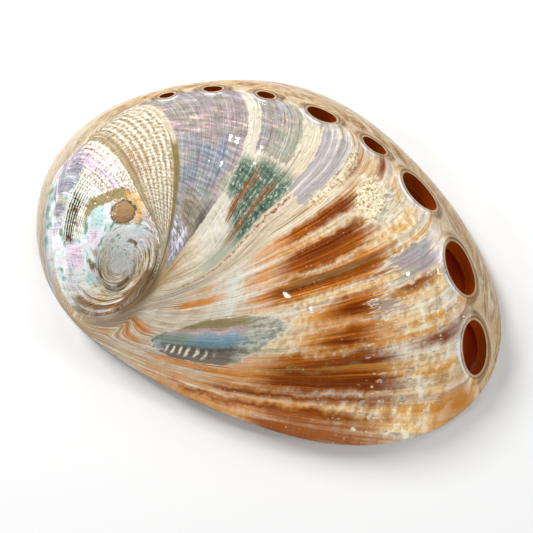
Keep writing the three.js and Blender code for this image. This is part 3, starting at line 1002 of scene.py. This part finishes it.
def early_suture(skin):
    """Brown wavy lines that follow the suture on the side facing the newest part, partly the shell's
    colour and partly painted shade along the suture's step, and white painted highlights along the
    shoulder.
    """
    where = skin.back + skin.sides * 14, skin.share + skin.ends * 0.12
    brown = [((238, 300), (0.87, 0.98)), ((296, 350), (0.62, 1.1)), ((650, 690), (0.8, 1.0))]
    brown += [((202, 218), (0.14, 0.34)), ((420, 450), (0.35, 0.5))]
    # Partly painted shade: dark brown along the suture.
    tone = skin.line.ramp((0.4, DARK_BROWN), (0.5, BROWN), (0.6, TAN))
    skin.paint(tone, skin.spots(where, brown, (3, 0.015)) * 0.8)
    # Painted highlights: white along the shoulder and in two patches further in.
    painted_highlight = [((228, 292), (1.0, 1.06)), ((246, 256), (0.1, 0.6)), ((310, 330), (0.25, 0.4))]
    skin.paint(WHITE, skin.spots(where, painted_highlight, (4, 0.02)) * 0.9)


def rosette(skin):
    """The grainy golden rosette, its pale halo on one side, which is a painted highlight, and a golden
    line beside it.
    """
    where = skin.ragged(0.45)
    across, along = ((where[i] - ROSETTE[i]) / ROSETTE_SIZE[i] for i in range(2))
    size = skin.math("SQRT", across * across + along * along)
    # Painted highlight: a pale ring on one side of the rosette.
    halo = size.between(1.25, 1.55, 0.15) * along.rise(-0.2, 0.5)
    skin.paint((1.0, 0.93, 0.76), halo * skin.check.rise(0.4, 0.5) * 0.8)
    gold = skin.most(size.rise(1.25, 0.9), skin.patches([((50, 52.5), (0.76, 0.97))], (1.2, 0.02)))
    grain = skin.space.noise(1.4, 2.0, 0.6)
    tone = grain.ramp((0.36, (0.4, 0.26, 0.1)), (0.44, (0.85, 0.66, 0.36)), (0.52, (1.0, 0.93, 0.72)))
    skin.paint(tone, gold * 0.92)


def finish_edges(skin):
    """The wall outside the row of holes, and the thin strip of it that runs on below the spire."""
    strip = skin.growth.rise(-15, -35)
    back = skin.back + strip * 360
    share = skin.share + strip * (skin.share * STRIP_STRETCH + 1)
    skin.paint(pearl_color(skin, back, share), strip)
    start = (back.rise(138, 168) - back.rise(205, 240)) * 0.09 + 1.0
    side = (share - start).rise(0.0, 0.025) * skin.back.rise(190, 180)
    older = back.rise(105, 150)
    skin.paint(skin.mix(side_color(skin), (0.8, 0.75, 0.62), older * 0.4), side)
    skin.paint(BROWN, (share - start).between(-0.01, 0.0, 0.008) * older * 0.5)
    corner = skin.back.rise(-2, -7) * skin.share.between(0.95, 1.14, 0.03)
    corner = corner * skin.back.rise(-75, -55) * skin.streak.rise(0.66, 0.46)
    skin.paint((0.56, 0.22, 0.015), corner * 0.85)
    around_holes(skin)


def paint_newest_whorl(skin):
    nacre(skin)
    pearly = skin.color
    cream_layer(skin)
    newest_ground(skin)
    rays(skin)
    teal_patch(skin)
    cut = windows(skin)
    skin.paint(pearly, cut)
    skin.paint((1.0, 0.88, 0.66), cut.between(0.2, 0.6, 0.15) * skin.check.rise(0.4, 0.55) * 0.8)
    ribbed_band(skin)
    rosette(skin)
    # Painted highlights: small pale flecks scattered over the newest whorl.
    glint_flecks = skin.weave(2.4, 120, 2.0, 1.0, 0.5) + skin.broad * 0.3
    skin.paint((1.0, 0.9, 0.7), glint_flecks.rise(0.84, 0.89) * 0.5)
    finish_edges(skin)


def paint_early_whorls(skin):
    """The early whorls, behind the last ribbed band."""
    early_ground(skin)
    ribbed_band(skin)
    early_marks(skin)
    early_suture(skin)
    fine = skin.line * 0.5 + skin.check * 0.25 + skin.cord * 0.25
    skin.shade(fine.ramp((0.39, (0.5, 0.47, 0.4)), (0.45, (1.05, 1.05, 1.05)), (0.56, (1.45, 1.45, 1.45))))
    finish_edges(skin)


def outside_bump(skin):
    lumps = skin.space.noise(0.35, 2.0, 0.5)
    rough = skin.space.noise(2.2, 2.0, 0.5)
    height = skin.line * 0.45 + skin.cord * 0.2 + skin.check * 0.25 + lumps * 0.8 + rough * 0.08
    return skin.signal("ShaderNodeBump", {"Height": height, "Distance": BUMP_HEIGHT * MM})


def outside_material(name, paint):
    skin = Skin(name)
    paint(skin)
    inputs = skin.shader.inputs
    skin.put(skin.color, inputs["Base Color"])
    skin.put(outside_bump(skin), inputs["Normal"])
    skin.put(skin.broad * 0.25 + 0.12, inputs["Roughness"])
    inputs["Specular IOR Level"].default_value = 0.06
    inputs["Coat Weight"].default_value = 0.45
    inputs["Coat Roughness"].default_value = 0.04
    return skin.material


def inside_material():
    """Smooth mother of pearl. Round the holes it is painted brown and made to glow: painted light for the
    daylight that comes through the thin wall.
    """
    graph = Graph("inner_nacre_and_glow")
    cloud = graph.space.noise(0.06, 3.0, 0.6, 0.8)
    bands = graph.weave(0.05, 3, 0.0, 3.0, 0.6)
    pearl = (cloud * 0.5 + bands * 0.5).ramp(
        (0.36, BLUE_GREY), (0.44, (0.5, 0.62, 0.6)), (0.5, (0.66, 0.6, 0.66)),
        (0.58, (0.62, 0.68, 0.62)), (0.66, (0.78, 0.7, 0.7)),
    )
    # Painted light: near the holes the inside turns brown and glows, standing in for daylight through the
    # wall.
    brown = graph.edge.rise(30, 12)
    inputs = graph.shader.inputs
    graph.put(graph.mix(pearl, (0.17, 0.03, 0.001), brown), inputs["Base Color"])
    graph.put(graph.mix((0.0, 0.0, 0.0), (0.16, 0.03, 0.001), brown), inputs["Emission Color"])
    inputs["Emission Strength"].default_value = 0.4
    inputs["Specular IOR Level"].default_value = 0.2
    inputs["Roughness"].default_value = 0.3
    return graph.material


def build_shell():
    vertices, faces, outer_faces, edge = shell_mesh()
    low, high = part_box("shell")
    middle = (vertices.min(axis=0) + vertices.max(axis=0)) / 2
    target = (low + high) / 2 / MM
    offset = np.array([target.x - middle[0], target.y - middle[1], -vertices[:, 2].min()])
    place = corner_coordinates(vertices, faces)
    shell = make_object("abalone_shell", vertices + offset, faces)
    growth = shell.data.attributes.new("growth", "FLOAT_VECTOR", "CORNER")
    growth.data.foreach_set("vector", place.reshape(-1).astype(np.float32))
    from_hole = shell.data.attributes.new("edge", "FLOAT", "POINT")
    from_hole.data.foreach_set("value", edge.astype(np.float32))
    shell.data.materials.append(outside_material("newest_whorl", paint_newest_whorl))
    shell.data.materials.append(outside_material("early_whorls", paint_early_whorls))
    shell.data.materials.append(inside_material())
    slots = np.full(len(faces), 2, np.int32)
    growth_of_face, back_of_face = (place[:, :, i].mean(axis=1) for i in (0, 2))
    early = (growth_of_face > EARLY_GROWTH) | (back_of_face > EARLY_BACK)
    slots[:outer_faces] = early[:outer_faces]
    shell.data.polygons.foreach_set("material_index", slots)
    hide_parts("shell")
    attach(shell, "root")
    return Vector(offset)


# The camera, at the photograph's angle and so far off that the shell's depth hardly shows.
CAMERA_AZIMUTH = radians(24.93)
CAMERA_ELEVATION = radians(62)
CAMERA_DISTANCE = 5 * MOUTH_LENGTH
SENSOR_WIDTH = 36
LENS = 163.1
LENS_SHIFT = (0.0247, 0.0343)


def add_camera(middle):
    level = cos(CAMERA_ELEVATION)
    back = Vector((sin(CAMERA_AZIMUTH) * level, -cos(CAMERA_AZIMUTH) * level, sin(CAMERA_ELEVATION)))
    data = bpy.data.cameras.new("camera")
    data.sensor_width = SENSOR_WIDTH
    data.lens = LENS
    data.shift_x, data.shift_y = LENS_SHIFT
    data.clip_end = 10
    camera = bpy.data.objects.new("camera", data)
    camera.location = (middle + back * CAMERA_DISTANCE) * MM
    camera.rotation_euler = back.to_track_quat("Z", "Y").to_euler()
    bpy.context.scene.collection.objects.link(camera)
    bpy.context.scene.camera = camera


# The lights stand mostly behind the shell, as the camera sees it, so that its shadow falls forwards.
# Each has a place and a width in metres and a power in watts, and may be kept out of the gloss.
SOFTBOXES = (
    ("key", (-0.42, 0.24, 0.4), 0.18, 2.5, False),
    ("back", (-0.02, 0.42, 0.42), 0.2, 0.45, False),
    ("fill", (0.4, -0.42, 0.15), 0.2, 1.2, False),
    ("far_left", (-0.5, 0.16, 0.34), 0.1, 0.55, True),
    ("right", (0.34, 0.26, 0.4), 0.04, 0.3, True),
    ("left", (-0.38, -0.18, 0.4), 0.04, 0.2, True),
    ("front", (0.15, -0.21, 0.52), 0.03, 0.08, True),
    ("top", (-0.16, 0.34, 0.46), 0.04, 0.2, True),
)
WORLD_LIGHT = 0.175
EXPOSURE = 0.06

TABLE_WIDTH = 6
TABLE_WHITE = (0.84, 0.84, 0.84, 1)

# The card under the shell, a painted shade for its warm dim inside: its reach, as a share of the outline,
# and its height off the table.
SHADE_CARD_BROWN = (0.8, 0.17, 0.008, 1)
CARD_SHARE = 0.92
CARD_HEIGHT = 0.2
CARD_CORNERS = 96


def add_softbox(name, place, size, power, in_gloss):
    data = bpy.data.lights.new(name, "AREA")
    data.shape = "DISK"
    data.size = size
    data.energy = power
    light = bpy.data.objects.new(name, data)
    light.location = place
    light.rotation_euler = (-Vector(place)).to_track_quat("-Z", "Y").to_euler()
    light.visible_glossy = in_gloss
    bpy.context.scene.collection.objects.link(light)


def matt_material(name, color, specular):
    material = bpy.data.materials.new(name)
    material.use_nodes = True
    inputs = material.node_tree.nodes["Principled BSDF"].inputs
    inputs["Base Color"].default_value = color
    inputs["Roughness"].default_value = 0.9
    inputs["Specular IOR Level"].default_value = specular
    return material


def add_studio():
    bpy.ops.mesh.primitive_plane_add(size=TABLE_WIDTH)
    floor = bpy.context.object
    floor.name = "floor"
    floor.data.materials.append(matt_material("white_table", TABLE_WHITE, 0.1))

    world = bpy.data.worlds.new("studio")
    bpy.context.scene.world = world
    world.use_nodes = True
    sky = world.node_tree.nodes["Background"]
    sky.inputs["Color"].default_value = (1, 1, 1, 1)
    sky.inputs["Strength"].default_value = WORLD_LIGHT
    for softbox in SOFTBOXES:
        add_softbox(*softbox)
    view = bpy.context.scene.view_settings
    view.view_transform = "Standard"
    view.look = "Medium High Contrast"
    view.exposure = EXPOSURE


def add_shade_card(offset):
    """A red-brown card on the table under the shell, seen only through the holes: painted shade that
    stands in for the warm dim light inside the shell.
    """
    angle = TURN * np.arange(CARD_CORNERS) / CARD_CORNERS
    reach = CARD_SHARE * outline_radius(angle)
    height = np.full(CARD_CORNERS, CARD_HEIGHT)
    rim = np.stack([reach * np.cos(angle), reach * np.sin(angle), height], axis=1)
    card = make_object("card", rim + offset * (1, 1, 0), np.arange(CARD_CORNERS)[None, :])
    card.data.materials.append(matt_material("shade_card", SHADE_CARD_BROWN, 0.5))


def main():
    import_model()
    middle = build_shell()
    add_studio()
    add_shade_card(np.array(middle))
    add_camera(Vector((middle.x, middle.y, 0)))


main()
